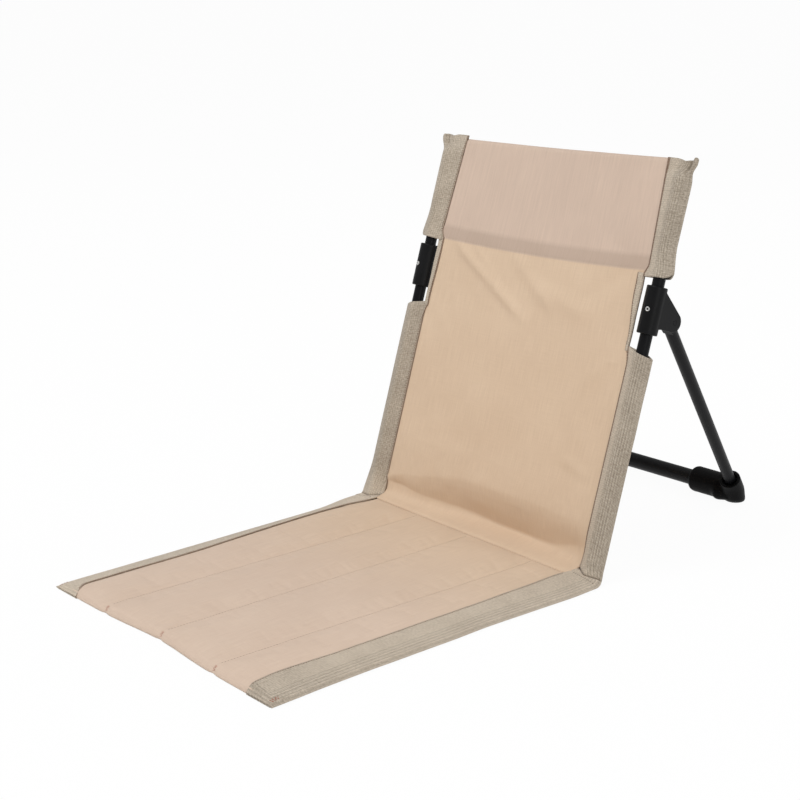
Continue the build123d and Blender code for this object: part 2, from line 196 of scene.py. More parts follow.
def bump(tree, height, strength, distance, under=None):
    made = tree.nodes.new("ShaderNodeBump")
    for name, value in (("Strength", strength), ("Distance", distance), ("Height", height), ("Normal", under)):
        feed(tree, made.inputs[name], value)
    return made.outputs[0]


def cloth_weave(tree):
    uv = node(tree, "UVMap", uv_map="weave")
    across = node(tree, "SeparateXYZ", uv)
    return uv, across, across.node.outputs[1]


def cloth_finish(name, base, shade, pitch, doubled_shade=None, hem=None, rear=None):
    """Woven polyester: fine plain weave, uneven yarns, faint clouding; marked cloth takes its own tone, and the back's
    two-layer head and its hem take painted shade.
    """
    finish, tree, shader = new_finish(name)
    uv, across, along = cloth_weave(tree)
    yarns = weave(tree, across, along, pitch)
    slubs = cloud(tree, stretched(tree, uv, (820.0, 34.0, 1.0)), 1.0)
    picks = cloud(tree, stretched(tree, uv, (40.0, 700.0, 1.0)), 1.0)
    clouds = cloud(tree, node(tree, "TexCoord", out=3), 12.0, 4.0)
    tone = spread(tree, blend_of(tree, (slubs, 0.45), (picks, 0.2), (clouds, 0.35)), 0.37, 0.63)
    colour = tint(tree, tone, shade, base)
    if doubled_shade:
        streaks = cloud(tree, stretched(tree, uv, (330.0, 7.0, 1.0)), 1.0)
        streaked = spread(tree, blend_of(tree, (slubs, 0.4), (streaks, 0.25), (clouds, 0.35)), 0.34, 0.66)
        # Painted light: the two-layer head is pinker where less light shines through it, and the hem darker, as
        # painted shade.
        colour = tint(tree, mark(tree, "doubled_shade"), colour, tint(tree, streaked, *doubled_shade))
        colour = tint(tree, mark(tree, "hem"), colour, tint(tree, streaked, *hem))
    if rear:
        colour = tint(tree, mark(tree, "rear"), colour, tint(tree, tone, *rear))
    valleys = spread(tree, yarns, 0.0, 0.55, 0.94, 1.0)
    colour = node(tree, "HueSaturation", 0.5, 1.0, valleys, 1.0, colour)
    dress(tree, shader, {
        "Base Color": colour,
        "Roughness": spread(tree, yarns, 0.0, 1.0, 0.86, 0.72),
        "Specular IOR Level": 0.22,
        "Sheen Weight": 0.12,
        "Sheen Roughness": 0.45,
        "Normal": bump(tree, yarns, 0.28, 0.0003, bump(tree, slubs, 0.14, 0.0004)),
    })
    return finish


def webbing_finish(name, base, shade):
    """Heavy cotton-like webbing: coarse fuzzy weave, dotted grooves between its ribs with painted shade in them, brown
    sewn edges with painted shade in their gaps.

    It is painted darker where drawn tight round the tubes, as shade on the pockets, and lighter on the seat's far band
    and the near pockets' flanges, as painted light."""
    finish, tree, shader = new_finish(name)
    uv, across, along = cloth_weave(tree)
    yarns = weave(tree, across, along, 0.0024)
    flecks = cloud(tree, stretched(tree, uv, (470.0, 390.0, 1.0)), 1.0, 2.0)
    dots = cloud(tree, stretched(tree, uv, (260.0, 640.0, 1.0)), 1.0)
    place = node(tree, "TexCoord", out=3)
    fuzz = cloud(tree, place, 1100.0, 3.0)
    clouds = cloud(tree, place, 34.0, 3.0)
    coarse = spread(tree, mark(tree, "taut_shade"), 0.0, 1.0, 0.45, 0.72)
    grain = spread(tree, blend_of(tree, (flecks, 0.7), (clouds, 0.3)), 0.34, 0.66, -0.5, 0.5)
    colour = tint(tree, maths(tree, "ADD", maths(tree, "MULTIPLY", grain, coarse), 0.5), shade, base)
    # Painted shade in the grooves between ribs and in the crease's mitre.
    groove_shade = maths(tree, "MULTIPLY", mark(tree, "groove_shade"), spread(tree, dots, 0.40, 0.60, 0.35, 1.0))
    valleys = spread(tree, yarns, 0.0, 0.7, 0.76, 1.08)
    dark = maths(tree, "MULTIPLY", valleys, spread(tree, groove_shade, 0.0, 1.0, 1.0, 0.56))
    # Painted shade on the pockets and painted light on the flanges and the far band, by the tightness mark.
    dark = maths(tree, "MULTIPLY", dark, spread(tree, mark(tree, "taut_shade"), -1.0, 1.5, 1.2, 0.70))
    colour = node(tree, "HueSaturation", 0.5, 1.0, dark, 1.0, colour)
    # Brown of the stitching, with painted shade in the seam gaps and the mitre.
    edge = maths(tree, "MULTIPLY", mark(tree, "edge"), spread(tree, dots, 0.3, 0.6, 0.65, 1.0))
    colour = tint(tree, edge, colour, (118, 90, 70))
    dress(tree, shader, {
        "Base Color": colour,
        "Roughness": spread(tree, fuzz, 0.3, 0.7, 0.82, 0.95),
        "Specular IOR Level": 0.15,
        "Sheen Weight": 0.18,
        "Sheen Roughness": 0.6,
        "Normal": bump(tree, yarns, 0.45, 0.0004, bump(tree, fuzz, 0.2, 0.0003)),
    })
    return finish


def thread_finish(name, base, shade):
    """Twisted sewing thread: fine slanting plies."""
    finish, tree, shader = new_finish(name)
    place = node(tree, "TexCoord", out=3)
    plies = node(tree, "TexWave", place, 1400.0, 2.0, bands_direction="DIAGONAL", out=1)
    dress(tree, shader, {
        "Base Color": tint(tree, plies, shade, base),
        "Roughness": spread(tree, plies, 0.0, 1.0, 0.75, 0.55),
        "Normal": bump(tree, plies, 0.3, 0.0001),
    })
    return finish


def black_finish(name, base, shade, rough, grain, depth, gloss):
    """Black coating or moulded plastic: fine grain, faint clouding and rubbed patches."""
    finish, tree, shader = new_finish(name)
    place = node(tree, "TexCoord", out=3)
    grains = cloud(tree, place, grain, 3.0)
    smears = cloud(tree, place, 24.0, 5.0)
    worn = blend_of(tree, (smears, 0.6), (grains, 0.4))
    dress(tree, shader, {
        "Base Color": tint(tree, spread(tree, smears, 0.35, 0.65), shade, base),
        "Roughness": spread(tree, worn, 0.35, 0.65, *rough),
        "Specular IOR Level": gloss,
        "Normal": bump(tree, grains, 0.25, depth),
    })
    return finish


def steel_finish(name):
    """Bright turned rivet: fine brushed rings and a little tarnish."""
    finish, tree, shader = new_finish(name)
    place = node(tree, "TexCoord", out=3)
    scratches = cloud(tree, stretched(tree, place, (900.0, 900.0, 5200.0)), 1.0, 3.0)
    tarnish = cloud(tree, place, 420.0, 2.0)
    dress(tree, shader, {
        "Base Color": tint(tree, tarnish, (172, 172, 170), (226, 226, 224)),
        "Roughness": spread(tree, scratches, 0.3, 0.7, 0.22, 0.42),
        "Metallic": 1.0,
        "Normal": bump(tree, scratches, 0.15, 0.00005),
    })
    return finish


seat_cloth = cloth_finish(
    "seat_cloth", (218, 196, 177), (210, 187, 168), 0.0011,
    rear=((208, 184, 159), (218, 194, 169)),
)
# The back's single layer is painted warmer for light shining through it; its two-layer head and hem carry painted
# shade.
back_cloth = cloth_finish(
    "back_cloth", (221, 196, 169), (212, 186, 159), 0.0011,
    doubled_shade=((201, 179, 162), (214, 191, 173)), hem=((186, 164, 147), (197, 175, 158)),
)
webbing = webbing_finish("webbing", (221, 207, 188), (160, 146, 128))
brown_thread = thread_finish("brown_thread", (128, 96, 72), (84, 60, 44))
# Darker thread for the row across the crease corner, partly painted shade.
crease_shade_thread = thread_finish("crease_shade_thread", (92, 70, 54), (58, 42, 32))
pale_thread = thread_finish("pale_thread", (190, 168, 146), (158, 136, 114))
rose_thread = thread_finish("rose_thread", (204, 164, 146), (182, 140, 124))
red_thread = thread_finish("red_thread", (178, 112, 92), (140, 80, 64))
tube_black = black_finish("tube_black", (17, 17, 19), (12, 12, 14), (0.32, 0.46), 1500.0, 0.00008, 0.13)
plastic_black = black_finish("plastic_black", (12, 12, 14), (8, 8, 9), (0.34, 0.50), 2200.0, 0.00015, 0.18)
foot_black = black_finish("foot_black", (11, 11, 12), (7, 7, 8), (0.42, 0.60), 2200.0, 0.00015, 0.07)
rivet_steel = steel_finish("rivet_steel")


# Sheets and strips
def make_piece(name, bm, finish, thickness=0.0):
    mesh = bpy.data.meshes.new(name)
    for face in bm.faces:
        face.smooth = True
    bm.to_mesh(mesh)
    bm.free()
    piece = bpy.data.objects.new(name, mesh)
    scene.collection.objects.link(piece)
    mesh.materials.append(finish)
    if thickness:
        solid = piece.modifiers.new("thickness", "SOLIDIFY")
        solid.thickness = thickness
        solid.offset = 0.0
    return piece


def laid_grid(columns, rows, place, weave_at, marks=None):
    """Grid of cloth whose points are laid by place(across, along), with its weave in metres."""
    bm = bmesh.new()
    bmesh.ops.create_grid(bm, x_segments=columns, y_segments=rows, size=0.5)
    uv = bm.loops.layers.uv.new("weave")
    layers = {key: bm.verts.layers.float.new(key) for key in (marks or {})}
    for face in bm.faces:
        for loop in face.loops:
            loop[uv].uv = weave_at(loop.vert.co.x + 0.5, loop.vert.co.y + 0.5)
    for vert in bm.verts:
        across, along = vert.co.x + 0.5, vert.co.y + 0.5
        for key, layer in layers.items():
            vert[layer] = marks[key](across, along)
        vert.co = place(across, along)
    return bm


def even_weave(width, length):
    return lambda across, along: (across * width, along * length)


def curve_through(points, count):
    """Even points along a smooth line through the given ones, with handles a third of the way."""
    line = []
    for i in range(len(points) - 1):
        before = points[max(i - 1, 0)]
        after = points[min(i + 2, len(points) - 1)]
        a, b = points[i], points[i + 1]
        reach = (b - a).length / 3
        first = a + (b - before).normalized() * reach
        second = b - (after - a).normalized() * reach
        for step in range(12):
            t = step / 12
            line.append(a * (1 - t) ** 3 + first * 3 * t * (1 - t) ** 2 + second * 3 * t * t * (1 - t) + b * t ** 3)
    line.append(points[-1])
    lengths = [0.0]
    for a, b in zip(line, line[1:]):
        lengths.append(lengths[-1] + (b - a).length)
    even, at = [], 0
    for k in range(count + 1):
        goal = lengths[-1] * k / count
        while at < len(line) - 2 and lengths[at + 1] < goal:
            at += 1
        span = lengths[at + 1] - lengths[at]
        even.append(line[at].lerp(line[at + 1], (goal - lengths[at]) / span if span else 0.0))
    return even


# Quilted seat pad: heights of its cover
pad_columns, pad_rows = 148, 180
pad_half = 0.170
rear_seam_y, rear_seam_skew = 0.0335, 0.028
seam_height, rear_seam_height, front_height, side_height = 0.0086, 0.0081, 0.0018, 0.0034


def quilt_x(line, y):
    """Where a quilting line runs: it drifts to the near side towards the rear."""
    return line[0] + line[1] * ease((y - front_y) / 0.42)


def cross_seam(x):
    """Rear seam of the pad, sewn a little askew."""
    return rear_seam_y - rear_seam_skew * x


def pad_front(x):
    """Front edge of the pad: drawn back in the middle and at each quilting line."""
    notch = sum(0.0014 * hump(x - line[0], 0.005) for line in quilt_lines)
    return front_y + 0.0006 + 0.0062 * hump(x, 0.064) + notch


def channel_crown(x, y):
    """Swell of the channel that holds x, from 0 at its seams to 1."""
    edges = [-pad_edge_x, *[quilt_x(line, y) for line in quilt_lines], pad_edge_x]
    for low, high in zip(edges, edges[1:]):
        if low <= x <= high:
            return 1 - abs((2 * x - low - high) / (high - low)) ** 3.2
    return 0.0


def cover_height(x, y):
    """Height of the pad's cover, and of what lies on it."""
    ahead = max(0.0, y - pad_front(x))
    to_seam = cross_seam(x) - y
    nose = math.sqrt(max(0.0, 1 - (1 - min(ahead / 0.009, 1.0)) ** 2))
    lift = 0.0008 * (1 - (x / pad_half) ** 2) * ease((0.050 - ahead) / 0.050)
    ends = ease(ahead / 0.030) * ease(to_seam / 0.030)
    plump = 0.0023
    far_edge = 0.0036 * hump(y + 0.065, 0.120) * ease((-x - 0.09) / 0.07) * ease(to_seam / 0.05)
    z = mix(front_height, seam_height, nose) + far_edge + plump * channel_crown(x, y) * ends
    z -= 0.0007 * sum(hump(x - quilt_x(line, y), 0.0036) for line in quilt_lines) * nose
    return mix(rear_seam_height, z, ease(to_seam / 0.012) ** 0.6) + lift


def pad_height(x, y):
    """The cover drops at its sides under the bands, and dips under the panel behind the rear seam."""
    z = cover_height(x, y) - 0.0016 * ease((y - cross_seam(x) + 0.0003) / 0.003)
    return mix(z, side_height, ease((abs(x) - pad_edge_x - 0.0002) / 0.0055))


# Back panel with its slack at the crease
panel_columns = 120
fold_rows = 66
panel_rows = fold_rows + 126
panel_length = 0.520
notch_half = {1: 0.1612, -1: 0.1680}  # half the panel's width at its notches, near and far
head_low, head_half, top_half = 0.350, 0.1660, 0.1585  # start of the head, half its width there and at the top


def panel_half(side, up):
    """Half the panel's width: full between the lower pockets, less at the notches, tapering in the head."""
    notch = mix(lower_seam_x, notch_half[side], ease((up - 0.230) / 0.034))
    head = mix(head_half, top_half, (up - head_low) / (back_length - head_low))
    return mix(notch, head, ease((up - 0.338) / 0.013))


def notch_sway(side, up):
    """The near free edge of the panel lies a little behind the pockets."""
    return (0.0010 if side > 0 else 0.0) * between(up, 0.262, 0.332, 0.020)


def slack(share):
    """How far the slack hangs behind the panel's plane, from the seams to the middle."""
    return 0.0015 + 0.0035 * ease((1 - abs(share)) / 0.10) + 0.0140 * hump(share - 0.2, 0.62)


def belly(share, up):
    """The cloth just above the slack swells forward."""
    return 0.0034 * hump(up - 0.070, 0.024) * (1 - share ** 4)


def fold_line(share):
    """Section of the slack: flat over the crease, back into the bowl, then forward and up to the taut panel."""
    x = share * lower_seam_x
    depth = slack(share)
    low = 0.0200 + 0.0045 * ease((0.2 - share) / 0.5) + 0.0045 * ease((-share - 0.6) / 0.3)
    low += 0.0100 * ease((share - 0.6) / 0.35)
    seam = Vector((0, cross_seam(x), cover_height(x, cross_seam(x)) - 0.0004))
    heel = crease + Vector((0, 0.0012, 0.0004))
    flap = Vector((0, mix(seam.y, heel.y, 0.5), 0.0091))
    deep = on_back(0, depth, low)
    floor_middle = Vector((0, mix(heel.y, deep.y, 0.45), mix(heel.z, deep.z, 0.10)))
    floor_end = Vector((0, mix(heel.y, deep.y, 0.82), mix(heel.z, deep.z, 0.40)))

    def above(share_of_depth, rise):
        rise *= 0.92 * (1 - 0.5 * (share - 0.3) ** 2) * (1 - 0.15 * ease((share - 0.6) / 0.3))
        return on_back(0, share_of_depth * depth - belly(share, low + rise), low + rise)

    points = [
        seam, flap, heel, floor_middle, floor_end, deep, above(0.80, 0.0080), above(0.50, 0.0175),
        above(0.25, 0.0275), above(0.08, 0.0370), above(0.0, 0.0480),
        on_back(0, -belly(share, fold_top), fold_top), on_back(0, -belly(share, fold_top + 0.012), fold_top + 0.012),
    ]
    line = curve_through(points, fold_rows * 4)
    top = min(range(len(line)), key=lambda k: (line[k] - points[-2]).length)
    return [line[round(top * k / fold_rows)] for k in range(fold_rows + 1)]


fold_lines = {}
# Wrinkles: ends (across, up), width and height
wrinkles = [
    ((-0.128, 0.332), (-0.010, 0.268), 0.0062, 0.0042),
    ((-0.104, 0.336), (-0.052, 0.300), 0.0050, 0.0014),
    ((-0.030, 0.330), (0.046, 0.276), 0.0090, 0.0025),
    ((0.020, 0.300), (0.095, 0.283), 0.0110, 0.0024),
    ((0.150, 0.345), (0.080, 0.296), 0.0110, -0.0020),
    ((-0.158, 0.262), (-0.105, 0.214), 0.0080, 0.0010),
    ((0.160, 0.258), (0.112, 0.206), 0.0085, 0.0011),
    ((-0.150, 0.110), (-0.070, 0.150), 0.0130, -0.0010),
    ((0.154, 0.128), (0.090, 0.176), 0.0120, 0.0010),
    ((0.162, 0.242), (0.138, 0.234), 0.0036, 0.0011),
    ((0.162, 0.104), (0.104, 0.120), 0.0065, 0.0015),
    ((0.156, 0.352), (0.110, 0.368), 0.0060, -0.0010),
    ((-0.156, 0.350), (-0.116, 0.360), 0.0060, -0.0008),
    ((0.158, 0.462), (0.126, 0.430), 0.0070, 0.0009),
    ((-0.158, 0.462), (-0.130, 0.436), 0.0060, 0.0007),
]


def wrinkle_height(x, up):
    total = 0.0
    here = Vector((x, up))
    for start, end, width, height in wrinkles:
        a, b = Vector(start), Vector(end)
        run = b - a
        t = (here - a).dot(run) / run.length_squared
        if -0.3 < t < 1.3:
            side = (here - a - run * t).length
            total += height * hump(side, width) * ease((t + 0.25) / 0.4) * ease((1.25 - t) / 0.5)
    return total


def hem_drop(share):
    """How far the head's lower hem hangs below its ends, lowest a little to the far side of the middle."""
    return 0.0040 * (1 - share * share) - 0.0018 - 0.0022 * share


def top_edge(share):
    """Height of the back's top edge: a little lower to the far side, higher at the near end."""
    return back_length - 0.0018 + 0.0020 * share + 0.0012 * (share * share - 0.5)


def panel_up(share, level):
    """Height up the slope of a row above the slack; rows follow the hanging hem and the top edge."""
    top_shift = (top_edge(share) - back_length) * ease((level - 0.400) / 0.066)
    return level + top_shift - hem_drop(share) * hump(level - 0.345, 0.045)


hem_low = 0.3405
hem_high = 0.3565


def panel_level(along):
    rows_share = fold_rows / panel_rows
    if along < rows_share:
        return -1.0
    return mix(fold_top, back_length, (along - rows_share) / (1 - rows_share))


def panel_place(across, along):
    share = 2 * across - 1
    row = round(along * panel_rows)
    key = round(share * 1000)
    if key not in fold_lines:
        fold_lines[key] = fold_line(share)
    if row <= fold_rows:
        spot = fold_lines[key][row].copy()
        spot.x = share * (lower_seam_x + 0.001)
        fade = between(row / fold_rows, 0.3, 0.9, 0.2) * (1 - abs(share) ** 8)
        soft = 0.0016 * ripple(spot.x, 0, 0.045, 3.1) + 0.0008 * ripple(spot.x, spot.z, 0.020, 5.5)
        return spot + rearward * (fade * soft)
    level = panel_level(along)
    up = panel_up(share, level)
    side = 1 if share > 0 else -1
    x = share * (panel_half(side, up) + 0.001)
    edge = 1 - abs(share) ** 6
    start = ease((level - fold_top) / 0.020)
    behind = -edge * start * wrinkle_height(x, up) + notch_sway(side, up) * abs(share) ** 3 - belly(share, up)
    behind += edge * start * (0.0011 * ripple(x, up, 0.075, 5.7) + 0.0005 * ripple(x, up, 0.028, 9.2))
    behind -= 0.0005 * ease((level - hem_low + 0.0015) / 0.003) * ease((hem_high - level) / 0.004)
    roll = max(0.0, level - (back_length - 0.0030)) / 0.003
    behind += 0.0016 * roll * roll
    return on_back(x, behind, up)


# Marks of the two-layer head and its hem, where the back cloth paints shade.
def panel_doubled(across, along):
    return ease((panel_level(along) - hem_low + 0.001) / 0.002)


def panel_hem(across, along):
    return panel_doubled(across, along) * ease((hem_high + 0.003 - panel_level(along)) / 0.006)


panel = make_piece(
    "back_panel_cloth",
    laid_grid(
        panel_columns, panel_rows, panel_place, even_weave(2 * lower_seam_x, panel_length),
        {"doubled_shade": panel_doubled, "hem": panel_hem},
    ),
    back_cloth, cloth_t,
)
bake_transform(panel)
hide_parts("back_panel", "rear_flap")

# Head flap, the rear layer of the head with its turned hem
flap_columns, flap_rows = 60, 44


def flap_place(across, along):
    share = 2 * across - 1
    level = mix(hem_low, back_length - 0.0008, along)
    up = panel_up(share, level)
    behind = 0.0024 + 0.0010 * ease((hem_high - level) / 0.004) + 0.0006 * ripple(share, level, 0.07, 2.4)
    behind = mix(behind, 0.0019, ease((level - back_length + 0.012) / 0.010))
    behind += abs(0.0012 * ripple(share * 2, level * 9, 0.5, 7.0))
    return on_back(share * panel_half(1 if share > 0 else -1, up), behind, up)


head_flap = make_piece(
    "head_flap_cloth",
    laid_grid(flap_columns, flap_rows, flap_place, even_weave(0.326, back_length - hem_low)),
    seat_cloth, cloth_t,
)
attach(head_flap, "back")
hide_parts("head_flap")

# Webbing: each band is folded round the seat's long edge and runs on, round the crease, as the lower pocket
strip_columns = 116
strip_knots = [(0, 0.0), (16, 0.016), (96, 0.400), (170, 0.476), (214, 0.695)]  # rows and metres from the front
strip_rows = strip_knots[-1][0]
strip_run = strip_knots[-1][1]
layer_width = 0.037
seat_run = foot_y - front_y


def run_at(along):
    row = along * strip_rows
    for (row_a, run_a), (row_b, run_b) in zip(strip_knots, strip_knots[1:]):
        if row <= row_b + 1e-6:
            return mix(run_a, run_b, (row - row_a) / (row_b - row_a))
    return strip_run


def tunnel(x, inner, outer, swell):
    """Webbing drawn over the tube: round over it, and straight down to its seam and its fold."""
    span = abs((inner if x < upright_x else outer) - upright_x)
    away = abs(x - upright_x)
    slope = swell / span
    if away <= swell * slope:
        return math.sqrt(swell * swell - away * away)
    return max(0.0, span - away) * slope / math.sqrt(1 - slope * slope)


def band_inner(side, y):
    """Inner edge of a seat band: it wanders, and the far one flares inward round the pad's front corner."""
    if side > 0:
        wander = 0.0058 * hump(y + 0.358, 0.065) + 0.0022 * hump(y + 0.235, 0.10)
    else:
        wander = 0.0025 * hump(y + 0.240, 0.05) + 0.0110 * ease((front_y + 0.026 - y) / 0.026) ** 1.5
    return pad_edge_x - wander + 0.0007 * ripple(y, side, 0.04, 1.7)


def strip_inner(side, run):
    y = front_y + run
    seam = mix(band_inner(side, min(y, 0.045)), lower_seam_x, ease((y - 0.010) / 0.035))
    return seam - 0.0040 * ease((run - seat_run - 0.232) / 0.024)


def strip_outer(side, run):
    """Outer fold of the webbing: it splays at the crease, where no tube fills it."""
    y = front_y + run
    if side > 0:
        splay = 0.0070 * ease((y + 0.140) / 0.165) * ease((0.062 - y) / 0.030)
        shift = 0.0010 * ease((0.030 - y) / 0.040) - 0.0026 * hump(y + 0.315, 0.085)
    else:
        splay = 0.0075 * ease((y + 0.030) / 0.060) * ease((0.100 - y) / 0.065)
        shift = -0.0040 * ease((0.010 - y) / 0.060)
    return half_width + splay + shift + 0.0005 * ripple(run, side, 0.05, 8.8)


def strip_layers(across):
    """Share of the way from the inner edge to the fold, and whether this is the upper layer."""
    if across <= 0.5:
        return across / 0.5, True
    return (1 - across) / 0.5, False


def fold_round(share):
    """How far a point is into the rounded outer fold."""
    return ease((share - 0.88) / 0.12)


def woven_place(width, depth, upper):
    """Place across the woven width, from one edge round the fold to the other."""
    return width - depth if upper else width + depth


def strip_depth(side, across, along):
    """How far in from its outer fold a point of the webbing lies."""
    run = run_at(along)
    return (1 - strip_layers(across)[0]) * (strip_outer(side, run) - strip_inner(side, run))


def rib_groove(depth, width, pitch):
    """Grooves between ribs, counted in from the fold: a shallow relief, and painted shade in their hollows."""
    ribs = (0.5 + 0.5 * math.cos(2 * math.pi * (depth - 0.0022) / pitch)) ** 3
    return ribs * ease((depth - 0.0010) / 0.001) * ease((width - depth) / 0.003)


def strip_groove(side, across, along):
    """Grooves along the outer part of the webbing, across its turned front end, and at the sewn corner: a shallow
    relief, painted darker as shade.
    """
    run = run_at(along)
    depth = strip_depth(side, across, along)
    on_back_share = ease((run - seat_run) / 0.02)
    ribs = mix(rib_groove(depth, 0.0195, 0.0038), rib_groove(depth, 0.0175, 0.0027), on_back_share)
    turned = (0.5 + 0.5 * math.cos(2 * math.pi * (run - 0.0026) / 0.0034)) ** 3
    ribs = mix(ribs, turned, ease((0.0125 - run) / 0.002) * ease((depth - 0.004 - run * 0.8) / 0.003))
    if side < 0 and run < seat_run:
        ribs *= 0.35
    if strip_layers(across)[1]:
        ahead = strip_turn(side, across, along)[0]
        ribs = max(ribs, hump(ahead - 0.0004, 0.0018))
    return ribs


def strip_edge_shade(side, across, along):
    """Brown of the stitching along the inner edge, with painted shade of the seam gap beside it, heaviest on the near
    pocket and the far band, and painted shade in the mitre's gap.
    """
    share, upper = strip_layers(across)
    run = run_at(along)
    on_seat = ease((seat_run - run) / 0.01)
    on_pocket, on_band, width = (0.90, 0.30, 0.100) if side > 0 else (0.62, 0.7, 0.036)
    heavy = mix(on_pocket, on_band, on_seat) * (1 - 0.7 * hump(run - seat_run + 0.010, 0.018))
    width = mix(width, 0.028, on_seat)
    sewn = heavy * ease((width - share) / (0.4 * width))
    if not upper:
        return sewn
    # Painted shade in the gap of the mitre at the crease.
    gap = 0.6 * hump(strip_turn(side, across, along)[0] - 0.0006, 0.0011)
    return max(sewn, gap * ease((0.97 - share) / 0.05))


def pocket_taut_shade(side, share):
    """A pocket is painted darker round its tube, as shade, and the near pockets lighter between the tube and their
    near seam, as a painted highlight on the slack flange.
    """
    return 1.08 - 0.75 * between(share, 0.10, 0.40, 0.08) if side > 0 else 1.2


def strip_taut_shade(side, across, along):
    """How dark the webbing is painted: darker drawn tight over the tube, partly as painted shade on the pockets, and
    paler on the seat's slack far edge, partly as painted light on the flat band.
    """
    run = run_at(along)
    front, rear = ease((0.11 - run) / 0.08), ease((run - 0.33) / 0.08)
    if side > 0:
        loose, change = 0.1 + 0.5 * front, 0.012
    else:
        loose, change = -0.15 - 0.3 * front - 0.4 * rear, 0.045
    return mix(loose, pocket_taut_shade(side, strip_layers(across)[0]), ease((run - seat_run + 0.004) / change))


def strip_weave(side, across, along):
    return woven_place(layer_width, strip_depth(side, across, along), strip_layers(across)[1]), run_at(along)


def strip_turn(side, across, along):
    """Where a point of the webbing stands to the corner of seat and back.

    Gives how far past it the point is, the corner's place and height, and the layer's height on either side."""
    share, upper = strip_layers(across)
    run = run_at(along)
    y = front_y + min(run, seat_run)
    inner, outer = strip_inner(side, run), strip_outer(side, run)
    x = mix(inner, outer, share)
    round_edge = fold_round(share)
    bulk = tunnel(x, inner, outer, pocket_swell) + tuck * (1 - round_edge)
    if upper:
        nose = math.sqrt(max(0.0, 1 - (1 - min(run / 0.012, 1.0)) ** 2))
        at_seam = cover_height(side * inner, y) + 0.0006
        flat_z = mix(at_seam, 0.0030, share ** 1.1) + 0.0005 * ripple(y, side * 3.0, 0.06, 4.4) * (1 - share)
        if x < pad_half + 0.002:
            flat_z = max(flat_z, pad_height(side * x, y) + 0.0008)
        flat_z = mix(mix(0.0019, flat_z, nose), 0.0012, round_edge)
        behind = -bulk
    else:
        flat_z = mix(0.0006, 0.0012, round_edge)
        behind = bulk
    corner_up = (flat_z + behind * math.sin(lean)) / math.cos(lean)
    corner = on_back(0, behind, corner_up)
    return run - (corner.y - front_y), corner, corner_up, flat_z, behind


def strip_place(side, across, along):
    share, upper = strip_layers(across)
    run = run_at(along)
    ahead, corner, corner_up, flat_z, behind = strip_turn(side, across, along)
    rib = 0.0003 * strip_groove(side, across, along) * (1 if upper else -1)
    reach = mix(0.0042 if upper else 0.0130, 0.0150 if side > 0 else 0.0065, share)
    top = lower_end + 0.0075 - 0.0095 * share
    if ahead < -reach:
        spot = Vector((0, front_y + run, flat_z - rib))
    elif ahead > reach:
        climbed = mix(corner_up + reach, top, (ahead - reach) / (strip_run - (corner.y - front_y) - reach))
        sway = 0.0022 * (1 - share) ** 2 * hump(climbed - 0.026, 0.014)
        spot = on_back(0, behind + sway + rib, climbed)
    else:
        t = (ahead + reach) / (2 * reach)
        start = Vector((0, corner.y - reach, flat_z))
        end = on_back(0, behind, corner_up + reach)
        spot = start * (1 - t) ** 2 + corner * 2 * t * (1 - t) + end * t * t
    if upper:
        inside = (1 - fold_round(share)) * ease(share / 0.03)
        mitre = 0.0026 * hump(ahead - 0.0004, 0.0012) + 0.0012 * hump(ahead - 0.0004, 0.0035)
        turned_end = 0.0008 * ease((ahead + 0.0125) / 0.0012) * ease((-0.0012 - ahead) / 0.001)
        spot += Vector((0, 0.55, -0.83)) * (mitre * inside) + Vector((0, 0, turned_end * inside))
    spot.x = side * mix(strip_inner(side, run), strip_outer(side, run), share)
    return spot


def webbing_piece(name, side, bm, thickness=webbing_t):
    """Folded webbing with its faces turned outward."""
    if side > 0:
        bmesh.ops.reverse_faces(bm, faces=bm.faces)
    piece = make_piece(name, bm, webbing, thickness)
    return piece


def webbing_strip(side, label):
    bm = laid_grid(
        strip_columns, strip_rows, partial(strip_place, side), partial(strip_weave, side),
        {"groove_shade": partial(strip_groove, side), "edge": partial(strip_edge_shade, side), "taut_shade": partial(strip_taut_shade, side)},
    )
    piece = webbing_piece(f"{label}_webbing", side, bm)
    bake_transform(piece)
    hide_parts(f"{label}_seat_band", f"{label}_lower_pocket")
    return piece


strips = {label: webbing_strip(side, label) for label, side in sides}

# Upper pockets, open below and pinched into ears at the top corners
pocket_columns, pocket_rows = 104, 84
upper_layer_width = 0.042
upper_fold_x = 0.1975


def upper_span(side, share, along):
    start = upper_start + 0.0022 * share + 0.0060 * max(0.0, (share - 0.76) / 0.24) ** 2
    ear = 0.0022 if side > 0 else -0.0012
    top = back_length + 0.0012 - 0.0022 * hump(share - 0.60, 0.16) + ear * ease((share - 0.78) / 0.14)
    top -= 0.0018 * ease((share - 0.94) / 0.06)
    return mix(start, top, along)


def upper_inner(side, up):
    return panel_half(side, max(up, 0.352)) - 0.0042 * ease((0.351 - up) / 0.012)


def upper_outer(side, up):
    """Outer fold: loose below, drawn in where the tube ends, and spread again in the ear."""
    loose = 0.0048 * ease((0.376 - up) / 0.040)
    ear = 0.0040 * ease((up - 0.453) / 0.012) - 0.0010 * hump(up - 0.4500, 0.006)
    return upper_fold_x + loose + ear * (1.0 if side > 0 else 0.75)


def upper_depth(side, across, along):
    share = strip_layers(across)[0]
    up = upper_span(side, share, along)
    return (1 - share) * (upper_outer(side, up) - upper_inner(side, up))


def upper_groove(side, across, along):
    return 0.9 * rib_groove(upper_depth(side, across, along), 0.0195, 0.0027)


def upper_edge(side, across, along):
    heavy, width = (0.95, 0.105) if side > 0 else (0.65, 0.038)
    return heavy * ease((width - strip_layers(across)[0]) / (0.4 * width))


# Painted shade on the upper pockets, the far one painted lighter.
def upper_taut_shade(side, across, along):
    return pocket_taut_shade(side, strip_layers(across)[0]) - (0.0 if side > 0 else 0.45)


